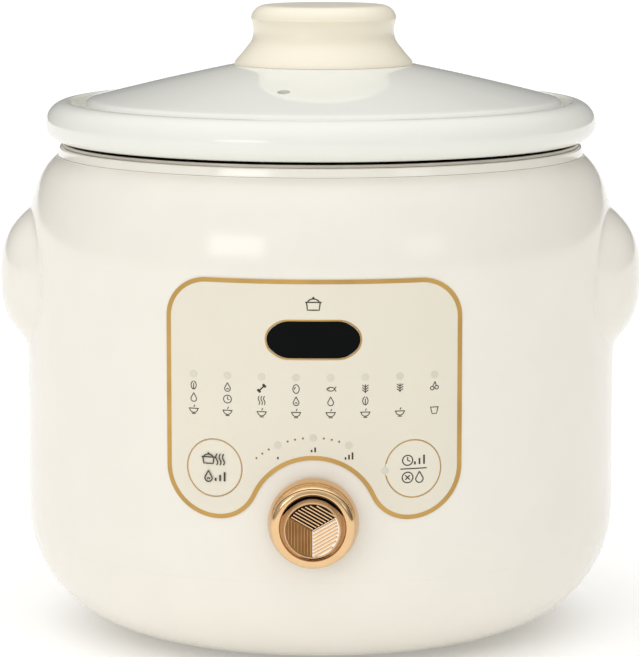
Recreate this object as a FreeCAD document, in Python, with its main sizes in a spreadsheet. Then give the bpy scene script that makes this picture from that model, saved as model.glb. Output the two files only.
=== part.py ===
"""Slow cooker with a ceramic pot, a ceramic lid and a front control panel. Millimetres, +Z up.

The origin is on the vertical axis of the round body, at the level of the feet's soles.
The control panel faces -Y and the side grips lie along X.
"""
import FreeCAD, Part
import Sketcher
import math
import os
from FreeCAD import Placement, Rotation, Vector

doc = FreeCAD.newDocument("slow_cooker")

# ---------------------------------------------------------------- driving dimensions
# Millimetres, and degrees for the angles.
SIZES = {
    # round body
    "barrel_radius": 140.0,
    "skin": 2.5,
    "base_corner_radius": 56.0,
    "floor_level": 3.0,
    "seam_level": 48.0,
    "shoulder_level": 180.0,
    "shoulder_radius": 100.0,
    "shoulder_sweep": 19.0,
    "brow_radius": 30.0,
    "shell_top": 226.5,
    "mouth_radius": 121.0,
    # side grips
    "grip_reach": 152.0,
    "grip_centre_level": 169.0,
    "grip_half_depth": 50.0,
    # collar and heating chamber
    "collar_height": 3.9,
    "flange_radius": 122.3,
    "chamber_radius": 112.6,
    "sheet": 0.8,
    "chamber_floor": 61.7,
    "chamber_corner": 50.5,
    "shield_radius": 118.2,
    "shield_floor": 50.0,
    # inner pot
    "pot_floor": 62.0,
    "pot_corner": 46.0,
    "pot_wall_radius": 106.0,
    "pot_neck_radius": 109.5,
    "pot_thickness": 6.0,
    "rim_underside": 233.3,
    "rim_widest_level": 241.4,
    "rim_widest_radius": 130.6,
    "rim_crest_radius": 120.3,
    "rim_bore": 118.6,
    "ledge_level": 245.4,
    # lid
    "lid_offset": 1.5,
    "lid_radius": 114.0,
    "lid_rest": 0.2,
    "lid_thickness": 6.5,
    "lid_seat_level": 271.2,
    "lid_seat_radius": 30.0,
    "lid_crown_radius": 640.0,
    "vent_radius": 4.0,
    "knob_neck_radius": 33.2,
    "knob_skirt_radius": 42.4,
    "knob_top": 296.3,
    # control panel
    "panel_half_width": 65.3,
    "panel_top": 183.7,
    "panel_corner": 18.1,
    "panel_lobe_radius": 23.1,
    "panel_lobe_level": 75.9,
    "arch_radius": 27.7,
    "film": 0.4,
    "window_width": 41.0,
    "window_height": 16.3,
    "window_level": 157.0,
    "lamp_level": 140.3,
    "lamp_pitch": 15.15,
    "lamp_radius": 2.0,
    "level_arc_radius": 37.8,
    "key_radius": 13.0,
    "key_level": 98.7,
    "key_angle": 18.3,
    "board_front": 122.8,
    "board_thickness": 1.6,
    # selector knob
    "dial_level": 75.7,
    "dial_radius": 20.2,
    "dial_back": 142.1,
    "dial_front": 159.5,
    "shaft_radius": 3.0,
    # base
    "foot_circle": 68.0,
    "foot_radius": 9.0,
    "post_circle": 76.0,
    "inlet_width": 28.0,
    "inlet_height": 20.0,
    "inlet_level": 33.0,
    "inlet_face": 135.5,
    # gaps between pieces
    "slip": 0.2,
    "running": 0.06,
}

sheet = doc.addObject("Spreadsheet::Sheet", "Sizes")
for row, (alias, number) in enumerate(SIZES.items(), start=1):
    sheet.set(f"A{row}", alias)
    sheet.set(f"B{row}", str(number))
    sheet.setAlias(f"B{row}", alias)
doc.recompute()


class Size:
    """A length: its number, and the sheet expression that keeps it up to date."""

    def __init__(self, number, text):
        self.number = number
        self.text = text

    def __add__(self, other):
        return joined(self, "+", other)

    def __radd__(self, other):
        return joined(other, "+", self)

    def __sub__(self, other):
        return joined(self, "-", other)

    def __rsub__(self, other):
        return joined(other, "-", self)

    def __mul__(self, other):
        return joined(self, "*", other)

    def __rmul__(self, other):
        return joined(other, "*", self)

    def __truediv__(self, other):
        return joined(self, "/", other)

    def __neg__(self):
        return joined(0, "-", self)


OPERATIONS = {
    "+": lambda a, b: a + b,
    "-": lambda a, b: a - b,
    "*": lambda a, b: a * b,
    "/": lambda a, b: a / b,
}


def size(value):
    """A Size from a Size or a plain number."""
    if isinstance(value, Size):
        return value
    return Size(float(value), f"({float(value)!r})")


def joined(left, sign, right):
    """The Size that two lengths make together."""
    left = size(left)
    right = size(right)
    return Size(OPERATIONS[sign](left.number, right.number), f"({left.text} {sign} {right.text})")


def root(value):
    """The square root of a Size."""
    return Size(math.sqrt(value.number), f"sqrt({value.text})")


def sized(alias):
    """The Size that a cell of the sheet holds."""
    return Size(SIZES[alias], f"Sizes.{alias}")


def bind(item, name, value):
    """Give a property its number and its expression."""
    value = size(value)
    if "." not in name:
        setattr(item, name, value.number)
    item.setExpression(name, value.text)


# ---------------------------------------------------------------- building helpers
NODES = []
UP = Vector(0, 0, 1)
AXES = {"x": Vector(1, 0, 0), "y": Vector(0, 1, 0), "z": UP, "-y": Vector(0, -1, 0), "-z": Vector(0, 0, -1)}


def node(item, name):
    """Name a finished piece: its label is also its file's name."""
    item.Label = name
    NODES.append(item)
    return item


def place(item, x=0, y=0, z=0, axis="z"):
    """Put a primitive's own origin at x, y, z, with its own Z along the axis."""
    item.Placement = Placement(Vector(0, 0, 0), Rotation(UP, AXES[axis]))
    for name, value in (("x", x), ("y", y), ("z", z)):
        bind(item, f".Placement.Base.{name}", value)
    return item


def cylinder(radius, height, x=0, y=0, z=0, axis="z"):
    item = doc.addObject("Part::Cylinder", "cylinder")
    bind(item, "Radius", radius)
    bind(item, "Height", height)
    return place(item, x, y, z, axis)


def block(width, depth, height, x=0, y=0, z=0):
    """A box centred on x and on y, standing on z."""
    item = doc.addObject("Part::Box", "block")
    bind(item, "Length", width)
    bind(item, "Width", depth)
    bind(item, "Height", height)
    return place(item, x - size(width) / 2, y - size(depth) / 2, z)


def cut(base, *tools):
    for tool in tools:
        item = doc.addObject("Part::Cut", "cut")
        item.Base = base
        item.Tool = tool
        base = item
    return base


def fuse(*items):
    item = doc.addObject("Part::MultiFuse", "fuse")
    item.Shapes = list(items)
    return item


def common(first, second):
    item = doc.addObject("Part::Common", "common")
    item.Base = first
    item.Tool = second
    return item


def group(*items):
    """Several separate solids in one piece, such as a set of screws."""
    item = doc.addObject("Part::Compound", "group")
    item.Links = list(items)
    return item


def pipe(outer, inner, height, x=0, y=0, z=0, axis="z"):
    """A round tube, or a washer."""
    return cut(cylinder(outer, height, x, y, z, axis), cylinder(inner, height, x, y, z, axis))


def turned(item, angle, axis=UP, about=Vector(0, 0, 0)):
    """The piece, turned about a vertical or another axis by moving its placement."""
    holder = doc.addObject("Part::Compound", "turned")
    holder.Links = [item]
    holder.Placement = Placement(Vector(0, 0, 0), Rotation(axis, angle), about)
    return holder


def arc_of(start, end, radius):
    """The short arc between two points. A positive radius keeps the centre on the left of the way.

    It gives the arc, and whether the arc runs from start to end or from end to start.
    """
    chord = end - start
    half = chord.Length / 2
    left = Vector(-chord.y, chord.x, 0).normalize()
    side = 1 if radius > 0 else -1
    rise = math.sqrt(max(radius * radius - half * half, 0.0))
    centre = (start + end) / 2 + left * (rise * side)
    first, last = (start, end) if side > 0 else (end, start)
    angle_first = math.atan2(first.y - centre.y, first.x - centre.x)
    angle_last = math.atan2(last.y - centre.y, last.x - centre.x)
    if angle_last < angle_first:
        angle_last += 2 * math.pi
    circle = Part.Circle(centre, UP, abs(radius))
    return Part.ArcOfCircle(circle, angle_first, angle_last), side > 0


def dome(reach, rise):
    """The radius of an arc that rises this much over this reach and ends level on the axis."""
    return (size(reach) * reach + size(rise) * rise) / (size(rise) * 2)


def outline(body, plane, corners):
    """A closed sketch in one of the body's planes.

    A corner is (across, up), or (across, up, radius) where an arc leads on to the next corner.
    """
    sketch = body.newObject("Sketcher::SketchObject", "outline")
    features = body.Origin.OriginFeatures
    sketch.AttachmentSupport = [([f for f in features if f.Role == plane][0], "")]
    sketch.MapMode = "FlatFace"
    corners = [tuple(size(value) for value in corner) for corner in corners]
    places = [Vector(corner[0].number, corner[1].number, 0) for corner in corners]
    shapes = []
    ends = []
    for index, corner in enumerate(corners):
        start = places[index]
        end = places[(index + 1) % len(places)]
        if len(corner) == 3:
            shape, forward = arc_of(start, end, corner[2].number)
        else:
            shape, forward = Part.LineSegment(start, end), True
        shapes.append(shape)
        ends.append((1, 2) if forward else (2, 1))
    sketch.addGeometry(shapes, False)
    bound = []
    rules = []
    for index, corner in enumerate(corners):
        following = (index + 1) % len(corners)
        rules.append(Sketcher.Constraint("Coincident", index, ends[index][1], following, ends[following][0]))
    for index, corner in enumerate(corners):
        across, up = corner[0], corner[1]
        begin = ends[index][0]
        if abs(across.number) < 1e-9:
            rules.append(Sketcher.Constraint("PointOnObject", index, begin, -2))
        else:
            rules.append(Sketcher.Constraint("DistanceX", -1, 1, index, begin, across.number))
            bound.append((len(rules) - 1, across))
        if abs(up.number) < 1e-9:
            rules.append(Sketcher.Constraint("PointOnObject", index, begin, -1))
        else:
            rules.append(Sketcher.Constraint("DistanceY", -1, 1, index, begin, up.number))
            bound.append((len(rules) - 1, up))
        if len(corner) == 3:
            rules.append(Sketcher.Constraint("Radius", index, abs(corner[2].number)))
            bound.append((len(rules) - 1, corner[2] if corner[2].number > 0 else -corner[2]))
    sketch.addConstraint(rules)
    for position, value in bound:
        if "Sizes." in value.text:
            sketch.setExpression(f"Constraints[{position}]", value.text)
    return sketch


def revolved(corners):
    """A solid turned about the Z axis, from its half section in the XZ plane."""
    body = doc.addObject("PartDesign::Body", "body")
    sketch = outline(body, "XZ_Plane", corners)
    turn = body.newObject("PartDesign::Revolution", "turn")
    turn.Profile = sketch
    turn.ReferenceAxis = (sketch, ["V_Axis"])
    turn.Angle = 360
    return body


def padded(corners, plane, length, both=False, offset=0, taper=0):
    """A solid pushed out of an outline along the plane's own normal, or both ways from it.

    The outline may start at an offset from the plane, and its flanks may lean by a taper angle.
    """
    body = doc.addObject("PartDesign::Body", "body")
    sketch = outline(body, plane, corners)
    bind(sketch, ".AttachmentOffset.Base.z", offset)
    pad = body.newObject("PartDesign::Pad", "pad")
    pad.Profile = sketch
    bind(pad, "Length", length)
    pad.Midplane = both
    pad.TaperAngle = taper
    return body


# ---------------------------------------------------------------- shared sizes
barrel = sized("barrel_radius")
skin = sized("skin")
slip = sized("slip")
corner = sized("base_corner_radius")
inner_corner = corner - skin
base_flat = barrel - corner
floor = sized("floor_level")
floor_top = floor + skin
corner_level = floor + corner
seam = sized("seam_level")
shoulder = sized("shoulder_level")
shell_top = sized("shell_top")
mouth = sized("mouth_radius")
inside = barrel - skin


def corner_reach(radius, level):
    """How far out the rounded lower corner of the body is at a level."""
    drop = corner_level - level
    return base_flat + root(radius * radius - drop * drop)


def shoulder_end(inset):
    """Where the long shoulder arc ends and the tighter brow arc starts."""
    radius = sized("shoulder_radius") - inset
    turn = math.radians(SIZES["shoulder_sweep"])
    across = barrel - sized("shoulder_radius") + radius * math.cos(turn)
    return across, shoulder + radius * math.sin(turn)


def brow_reach(inset, level):
    """How far out the brow arc is at a level."""
    radius = sized("brow_radius") - inset
    turn = math.radians(SIZES["shoulder_sweep"])
    across, up = shoulder_end(0)
    centre_across = across - sized("brow_radius") * math.cos(turn)
    centre_up = up - sized("brow_radius") * math.sin(turn)
    rise = level - centre_up
    return centre_across + root(radius * radius - rise * rise)


def shell_section(inset, bottom, top):
    """Half section of the body between two levels, at an inset from its outer face."""
    shoulder_radius = sized("shoulder_radius") - inset
    brow_radius = sized("brow_radius") - inset
    corner_radius = corner - inset
    return [
        (0, bottom),
        (corner_reach(corner_radius, bottom), bottom, corner_radius),
        (barrel - inset, corner_level),
        (barrel - inset, shoulder, shoulder_radius),
        (*shoulder_end(inset), brow_radius),
        (brow_reach(inset, top), top),
        (0, top),
    ]


# ---------------------------------------------------------------- outer shell
grip_level = sized("grip_centre_level")
grip_reach = sized("grip_reach")


def oval_pad(half_wide, half_high, near, length, taper):
    """An upright oval pushed out along +X from a distance, its flanks leaning in by the taper."""
    end = half_high - 6
    shift = half_wide - end
    drop = (shift * shift - 36) / 12
    crown_radius = half_high + drop
    reach = crown_radius / (crown_radius - end)
    across = shift * reach
    up = drop * reach - drop
    return padded(
        [
            (across, grip_level - up, end),
            (across, grip_level + up, crown_radius),
            (-across, grip_level + up, end),
            (-across, grip_level - up, crown_radius),
        ],
        "YZ_Plane", length, offset=near, taper=taper)


def grip(inset):
    """One side grip on +X: a swelling of the barrel that narrows towards its outer face."""
    hidden = barrel - 14 - inset
    side = padded(
        [
            (hidden, grip_level - 32 + inset),
            (barrel - 0.5 - inset, grip_level - 32 + inset),
            (grip_reach - 4.3 - inset, grip_level - 19.4 + inset, 8),
            (grip_reach - 0.5 - inset, grip_level - 12.5 + inset, 150),
            (grip_reach - inset, grip_level + 10.5 - inset, 10),
            (barrel + 4.5 - inset, grip_level + 22 - inset, -20),
            (barrel - 3.5 - inset, grip_level + 34.5 - inset),
            (hidden, grip_level + 34.5 - inset),
        ],
        "XZ_Plane", 120, both=True)
    half = sized("grip_half_depth") - inset
    return common(side, oval_pad(half, half * 0.84, barrel - 16, 30, -22))


def body_solid(inset, bottom, top):
    """The round body with both grips, drawn in by an inset."""
    drum = turned(revolved(shell_section(inset, bottom, top)), 90)
    right = grip(inset)
    return fuse(drum, right, turned(right, 180))


# Panel positions, worked out on the barrel's front.
dial = sized("dial_level")
window_level = sized("window_level")
lamp_level = sized("lamp_level")
pitch = sized("lamp_pitch")
LAMP_ROW = [((index - 3.5) * pitch, lamp_level) for index in range(8)]
LEVEL_ROW = [
    (sized("level_arc_radius") * math.sin(math.radians(angle)),
     dial + sized("level_arc_radius") * math.cos(math.radians(angle)))
    for angle in (-24.4, 0, 24.4)
]
LAMPS = LAMP_ROW + LEVEL_ROW
film = sized("film")
key_radius = sized("key_radius")


def window(gap, depth):
    """A flat-sided window outline with slanted ends, pushed forward from the axis plane."""
    half_wide = sized("window_width") / 2 + gap
    half_high = sized("window_height") / 2 + gap
    end = half_high * 0.78
    drop = half_high * 0.6
    return padded(
        [
            (end - half_wide, window_level - half_high),
            (half_wide - end, window_level - half_high),
            (half_wide, window_level - half_high + drop),
            (half_wide, window_level + half_high - drop),
            (half_wide - end, window_level + half_high),
            (end - half_wide, window_level + half_high),
            (-half_wide, window_level + half_high - drop),
            (-half_wide, window_level - half_high + drop),
        ],
        "XZ_Plane", depth)


def key_post(radius, near, far, side):
    """A cylinder square to the barrel at a key, between two distances from the body's axis."""
    item = doc.addObject("Part::Cylinder", "key_post")
    bind(item, "Radius", radius)
    bind(item, "Height", size(far) - near)
    angle = math.radians(SIZES["key_angle"]) * side
    way = Vector(math.sin(angle), -math.cos(angle), 0)
    item.Placement = Placement(Vector(0, 0, 0), Rotation(UP, way))
    bind(item, ".Placement.Base.x", size(near) * way.x)
    bind(item, ".Placement.Base.y", size(near) * way.y)
    bind(item, ".Placement.Base.z", sized("key_level"))
    return item


def lamp_holes(radius):
    return group(*[cylinder(radius, barrel + 10, x, 0, z, "-y") for x, z in LAMPS])


shell_blank = cut(
    body_solid(0, seam, shell_top),
    body_solid(skin, seam - 1, shell_top - skin),
    cylinder(mouth, 10, z=shell_top - 5))
shell_cut = cut(
    shell_blank,
    window(slip, barrel + 10),
    lamp_holes(sized("lamp_radius") + slip / 2),
    key_post(key_radius + slip, 120, 150, -1),
    key_post(key_radius + slip, 120, 150, 1),
    cylinder(5.2, barrel + 10, 0, 0, dial, "-y"))
node(shell_cut, "outer_shell")

# ---------------------------------------------------------------- base cover
lip_reach = corner_reach(inner_corner, seam - 2)
lip_inner = lip_reach - 2.3
inlet_level = sized("inlet_level")
inlet_wide = sized("inlet_width")
inlet_high = sized("inlet_height")
inlet_face = sized("inlet_face")
post_circle = sized("post_circle")
foot_circle = sized("foot_circle")


def around(radius, *angles):
    """Points on a circle about the axis, at angles in degrees."""
    return [(radius * math.cos(math.radians(a)), radius * math.sin(math.radians(a))) for a in angles]


POSTS = around(post_circle, 90, 210, 330)
FEET = around(foot_circle, 45, 135, 225, 315)
BOARD_CENTRE = 35.0
BOARD_LEVEL = 16.0
BOARD_SCREWS = [(x, BOARD_CENTRE + y) for x in (-46, 46) for y in (-26, 26)]

lip_run = lip_inner - base_flat
lip_drop = corner_level - root(inner_corner * inner_corner - lip_run * lip_run)
bowl = revolved([
    (0, floor),
    (base_flat, floor, corner),
    (corner_reach(corner, seam - slip), seam - slip),
    (lip_reach, seam - slip),
    (lip_reach, seam + 4),
    (lip_inner, seam + 4),
    (lip_inner, lip_drop, -inner_corner),
    (base_flat, floor_top),
    (0, floor_top),
])
surround = common(
    block(inlet_wide + 6, 28, inlet_high + 6, 0, inlet_face - 14, inlet_level - inlet_high / 2 - 3),
    cylinder(inlet_face + 2, 60))
posts = [cylinder(5.0, sized("shield_floor") - floor - 1, x, y, floor + 1) for x, y in POSTS]
pads = [cylinder(3.5, BOARD_LEVEL - floor - 1, x, y, floor + 1) for x, y in BOARD_SCREWS]
slots = group(*[turned(block(24, 3, 10, 40, 0, 0), 30 * index + 15) for index in range(12)])
cover = cut(
    fuse(bowl, surround, *posts, *pads),
    block(inlet_wide + slip * 2, 60, inlet_high + slip * 2, 0, inlet_face - 5, inlet_level - inlet_high / 2 - slip),
    group(*[cylinder(3.0, 10, x, y, 0) for x, y in FEET]),
    group(*[cylinder(2.1, 60, x, y, 0) for x, y in POSTS]),
    group(*[cylinder(4.0, 4, x, y, 2) for x, y in POSTS]),
    group(*[cylinder(1.2, 8, x, y, BOARD_LEVEL - 8) for x, y in BOARD_SCREWS]),
    slots)
node(cover, "base_cover")


def cone(low_radius, high_radius, height, x, y, z):
    item = doc.addObject("Part::Cone", "cone")
    bind(item, "Radius1", low_radius)
    bind(item, "Radius2", high_radius)
    bind(item, "Height", height)
    return place(item, x, y, z)


def foot(x, y):
    """A rubber foot: a sole, a stem through the floor, and a barb that holds it."""
    return fuse(
        cylinder(sized("foot_radius"), floor, x, y, 0),
        cylinder(2.9, floor_top + 1, x, y, 0),
        cone(4.2, 2.4, 2.2, x, y, floor_top + 0.3))


node(group(*[foot(x, y) for x, y in FEET]), "rubber_feet")


def screw(head_radius, head_height, shank_radius, length, x, y, z, axis):
    """A pan-head screw with a cross slot. Its head's face is at the point, its shank along the axis."""
    whole = fuse(
        cylinder(head_radius, head_height, x, y, z, axis),
        cylinder(shank_radius, length, x, y, z, axis))
    wide = head_radius * 1.2
    narrow = head_radius * 0.25
    for across, along in ((wide, narrow), (narrow, wide)):
        if axis in ("z", "-z"):
            slot = block(across, along, head_height, x, y, z - size(head_height) / 2)
        else:
            slot = block(across, head_height, along, x, y, z - along / 2)
        whole = cut(whole, slot)
    return whole


node(group(*[screw(3.6, 2.4, 1.9, 48, x, y, floor + 0.6, "z") for x, y in POSTS]), "base_screws")

# ---------------------------------------------------------------- collar and heating parts
collar_bottom = shell_top + slip
collar_top = collar_bottom + sized("collar_height")
flange = sized("flange_radius")
flange_level = collar_top + 0.1
HEM = 1.3
collar_outer = brow_reach(0, shell_top) - 0.1
node(revolved([
    (mouth - 3, collar_bottom),
    (collar_outer, collar_bottom),
    (collar_outer - 0.6, collar_top - 0.9, 0.9),
    (collar_outer - 1.4, collar_top),
    (mouth - 3, collar_top),
]), "collar_ring")

chamber = sized("chamber_radius")
sheet_metal = sized("sheet")
chamber_floor = sized("chamber_floor")
chamber_corner = sized("chamber_corner")
SENSOR_HOLE = 14.0
node(revolved([
    (SENSOR_HOLE, chamber_floor - sheet_metal),
    (chamber - chamber_corner, chamber_floor - sheet_metal, chamber_corner + sheet_metal),
    (chamber + sheet_metal, chamber_floor + chamber_corner),
    (chamber + sheet_metal, flange_level),
    (flange, flange_level),
    (flange, flange_level + HEM),
    (flange - 3, flange_level + HEM),
    (flange - 3, flange_level + sheet_metal),
    (chamber, flange_level + sheet_metal),
    (chamber, chamber_floor + chamber_corner, -chamber_corner),
    (chamber - chamber_corner, chamber_floor),
    (SENSOR_HOLE, chamber_floor),
]), "heating_chamber")

shield = sized("shield_radius")
shield_floor = sized("shield_floor")
can = revolved([
    (17, shield_floor),
    (shield + 0.6, shield_floor),
    (shield + 0.6, shell_top - 6),
    (shield, shell_top - 6),
    (shield, shield_floor + 0.6),
    (17, shield_floor + 0.6),
])
node(cut(
    can,
    group(*[cylinder(2.0, 4, x, y, shield_floor - 2) for x, y in POSTS]),
    cylinder(5.0, 4, 60, 30, shield_floor - 2)), "heat_shield")

node(pipe(chamber + sheet_metal + 2.6, chamber + sheet_metal + 0.1, 60, z=118), "band_heater")
HEATER_HEIGHT = 4.6
heater_level = chamber_floor - sheet_metal - 0.1 - HEATER_HEIGHT
node(pipe(chamber - chamber_corner - 2, 22, HEATER_HEIGHT, z=heater_level), "bottom_heater")

node(revolved([
    (3, shield_floor - 7.5),
    (15.8, shield_floor - 7.5),
    (15.8, shield_floor - 1),
    (24, shield_floor - 1),
    (24, shield_floor - 0.1),
    (14.8, shield_floor - 0.1),
    (14.8, shield_floor - 6.5),
    (3, shield_floor - 6.5),
]), "sensor_bracket")

sensor_top = chamber_floor - 0.1
node(revolved([
    (0, sensor_top - 1.2),
    (11.3, sensor_top - 1.2),
    (11.3, sensor_top - 9),
    (12.5, sensor_top - 9),
    (12.5, sensor_top - 1.2, 1.2),
    (11.3, sensor_top),
    (0, sensor_top),
]), "sensor_cap")

SPRING_RADIUS = 8.5
SPRING_WIRE = 0.5
HALF_COILS = 9
spring_foot = shield_floor - 6.4 + SPRING_WIRE
half_rise = (sensor_top - 1.3 - SPRING_WIRE - spring_foot) / HALF_COILS
lean_angle = math.degrees(math.asin(half_rise.number / (2 * SPRING_RADIUS)))


def half_coil(index):
    """Half a turn of wire. Each leans the opposite way to the last, so that their ends meet as they climb."""
    item = doc.addObject("Part::Torus", "half_coil")
    item.Radius1 = SPRING_RADIUS
    item.Radius2 = SPRING_WIRE
    item.Angle3 = 180
    back_half = index % 2
    facing = Rotation(UP, 180 * back_half)
    lean = Rotation(Vector(0, 1, 0), -lean_angle if back_half else lean_angle)
    item.Placement = Placement(Vector(0, 0, 0), lean * facing)
    bind(item, ".Placement.Base.z", spring_foot + half_rise * (index + 0.5))
    return item


node(fuse(*[half_coil(index) for index in range(HALF_COILS)]), "sensor_spring")

node(cylinder(2.0, 14, 30, 34, heater_level - 2.1, "-y"), "thermal_fuse")

# ---------------------------------------------------------------- inner pot
pot_floor = sized("pot_floor")
pot_corner = sized("pot_corner")
pot_wall = sized("pot_wall_radius")
neck = sized("pot_neck_radius")
thick = sized("pot_thickness")
underside = sized("rim_underside")
widest = sized("rim_widest_radius")
widest_level = sized("rim_widest_level")
crest = sized("rim_crest_radius")
bore = sized("rim_bore")
ledge = sized("ledge_level")
crest_level = widest_level + (widest - crest)
lower_bead = widest_level - underside
node(revolved([
    (0, pot_floor),
    (pot_wall - pot_corner, pot_floor, pot_corner),
    (pot_wall, pot_floor + pot_corner),
    (neck, underside - 4, -4),
    (neck + 4, underside),
    (widest - lower_bead, underside, lower_bead),
    (widest, widest_level, widest - crest),
    (crest, crest_level, crest - bore),
    (bore, crest_level - (crest - bore)),
    (bore, ledge + 1.5, -1.5),
    (bore - 1.5, ledge),
    (neck - 3, ledge, 2),
    (neck - 5, ledge - 2),
    (pot_wall - thick, pot_floor + pot_corner, -pot_corner + thick),
    (pot_wall - pot_corner, pot_floor + thick),
    (0, pot_floor + thick),
]), "inner_pot")

# ---------------------------------------------------------------- lid and its knob
lid_edge = sized("lid_radius")
lid_bottom = ledge + sized("lid_rest")
lid_seat = sized("lid_seat_level")
seat_radius = sized("lid_seat_radius")
lid_thick = sized("lid_thickness")
crown = sized("lid_crown_radius")
EDGE_RADIUS = 5.4
LID_HOLE = 3.3
lid_blank = revolved([
    (LID_HOLE, lid_seat - lid_thick),
    (seat_radius, lid_seat - lid_thick, -900),
    (lid_edge - 20, lid_bottom + 3.4),
    (lid_edge - 17.5, lid_bottom - 6),
    (lid_edge - 12.5, lid_bottom - 6),
    (lid_edge - 12, lid_bottom),
    (lid_edge - 2, lid_bottom, 2),
    (lid_edge, lid_bottom + 2, EDGE_RADIUS),
    (lid_edge - 3.9, lid_bottom + 7.2, crown),
    (seat_radius, lid_seat),
    (LID_HOLE, lid_seat),
])


def on_lid(item):
    """Shift a lid piece sideways with the lid, which lies a little off centre in its rebate."""
    moved = doc.addObject("Part::Compound", "on_lid")
    moved.Links = [item]
    bind(moved, ".Placement.Base.x", sized("lid_offset"))
    return moved


node(on_lid(cut(lid_blank, cylinder(sized("vent_radius"), 60, -19, -79.6, lid_bottom))), "lid")

knob_neck = sized("knob_neck_radius")
skirt = sized("knob_skirt_radius")
knob_top = sized("knob_top")
knob_foot = lid_seat + 0.1
INSERT_RADIUS = 5.5
knob_blank = revolved([
    (0, knob_foot),
    (seat_radius + 0.5, knob_foot),
    (skirt - 0.3, lid_seat - 1.8),
    (skirt, lid_seat - 1.4, 0.6),
    (skirt - 0.4, lid_seat - 1.0),
    (knob_neck + 3, lid_seat + 5.8, -5),
    (knob_neck, lid_seat + 10),
    (knob_neck + 1.5, knob_top - 7, 7),
    (knob_neck - 5.5, knob_top, dome(knob_neck - 5.5, 0.4)),
    (0, knob_top + 0.4),
])
node(on_lid(cut(knob_blank, cylinder(INSERT_RADIUS, 12, z=knob_foot - 1))), "lid_knob")
node(on_lid(cut(
    cylinder(INSERT_RADIUS, 11, z=knob_foot),
    cylinder(2.1, 9.5, z=knob_foot - 1))), "lid_knob_insert")
washer_level = lid_seat - lid_thick - 1.4
node(on_lid(pipe(9, 2.4, 1.3, z=washer_level)), "lid_knob_washer")
node(on_lid(screw(4.2, 2.4, 2.0, 16.5, 0, 0, washer_level - 2.5, "z")), "lid_knob_screw")

# ---------------------------------------------------------------- control panel
half_panel = sized("panel_half_width")
panel_top = sized("panel_top")
panel_corner = sized("panel_corner")
lobe = sized("panel_lobe_radius")
lobe_level = sized("panel_lobe_level")
arch = sized("arch_radius")
film_inner = barrel + 0.05
film_outer = film_inner + film


def panel_outline():
    """Rounded at the top; two lobes below, with an arch between them that clears the knob."""
    across = half_panel - lobe
    down = lobe_level - dial
    throat = (across * across + down * down - arch * arch) / (2 * (arch - down))
    share = arch / (arch + throat)
    meet = (across * share, dial + (down + throat) * share)
    return [
        (-meet[0], meet[1], -arch),
        (meet[0], meet[1], throat),
        (across, lobe_level, lobe),
        (half_panel, lobe_level + lobe),
        (half_panel, panel_top - panel_corner, panel_corner),
        (half_panel - panel_corner, panel_top),
        (panel_corner - half_panel, panel_top, panel_corner),
        (-half_panel, panel_top - panel_corner),
        (-half_panel, lobe_level + lobe, lobe),
        (-across, lobe_level, throat),
    ]


panel_tools = [
    window(slip, barrel + 10),
    key_post(key_radius + slip, 120, 150, -1),
    key_post(key_radius + slip, 120, 150, 1),
]
node(cut(
    common(padded(panel_outline(), "XZ_Plane", barrel + 10), pipe(film_outer, film_inner, 160, z=50)),
    *panel_tools), "panel_film")

node(common(window(0, barrel + 10), pipe(film_outer - 0.15, inside + 0.3, 30, z=window_level - 15)), "display_lens")

board_front = sized("board_front")
board_thick = sized("board_thickness")


def on_board(width, height, depth, x, z):
    """A component on the front of the display board, centred at x and z."""
    return block(width, depth, height, x, -board_front - size(depth) / 2, z - size(height) / 2)


display_board = cut(
    block(110, board_thick, 112, 0, board_thick / 2 - board_front, 60),
    *[cylinder(1.6, 10, x, 5 - board_front, z, "-y") for x in (-50, 50) for z in (66.0, 125.0)])
node(display_board, "display_board")
node(on_board(44, 19, 7.4, 0, window_level), "display_module")
node(group(*[on_board(2.6, 1.6, 0.9, x, z) for x, z in LAMPS]), "indicator_lamps")


def light_guide(x, z):
    """A clear rod from just in front of its lamp to the back of the panel film."""
    rod = cylinder(sized("lamp_radius"), 30, x, -board_front - 1.2, z, "-y")
    return common(rod, cylinder(barrel, 200))


node(group(*[light_guide(x, z) for x, z in LAMPS]), "light_guides")

key_angle = math.radians(SIZES["key_angle"])
for name, side in (("keep_warm_key", -1), ("timer_key", 1)):
    cap = common(key_post(key_radius, barrel - 3.2, barrel + 5, side), cylinder(film_outer, 200))
    node(fuse(
        cap,
        key_post(13.6, barrel - 4.8, barrel - 3.9, side),
        key_post(10.0, barrel - 4.8, barrel - 3.0, side),
        key_post(1.6, barrel - 5.4, barrel - 3.0, side)), name)
switch_across = (barrel - 8) * math.sin(key_angle)
node(group(*[
    fuse(
        on_board(6.2, 6.2, 3.2, side * switch_across, sized("key_level")),
        cylinder(1.7, 3.7, side * switch_across, -board_front, sized("key_level"), "-y"))
    for side in (-1, 1)]), "tact_switches")

# ---------------------------------------------------------------- rotary selector
running = sized("running")
shaft = sized("shaft_radius")
dial_back = sized("dial_back")
dial_front = sized("dial_front")
dial_radius = sized("dial_radius")
encoder_front = board_front + 6.5
encoder_end = encoder_front + 9


def dial_turned(corners):
    """A solid turned about the knob's axis. Corners are (radius, distance in front of the body's axis)."""
    body = revolved([(radius, ahead, *rest) for radius, ahead, *rest in corners])
    body.Placement = Placement(Vector(0, 0, 0), Rotation(Vector(1, 0, 0), 90))
    bind(body, ".Placement.Base.z", dial)
    return body


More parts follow.
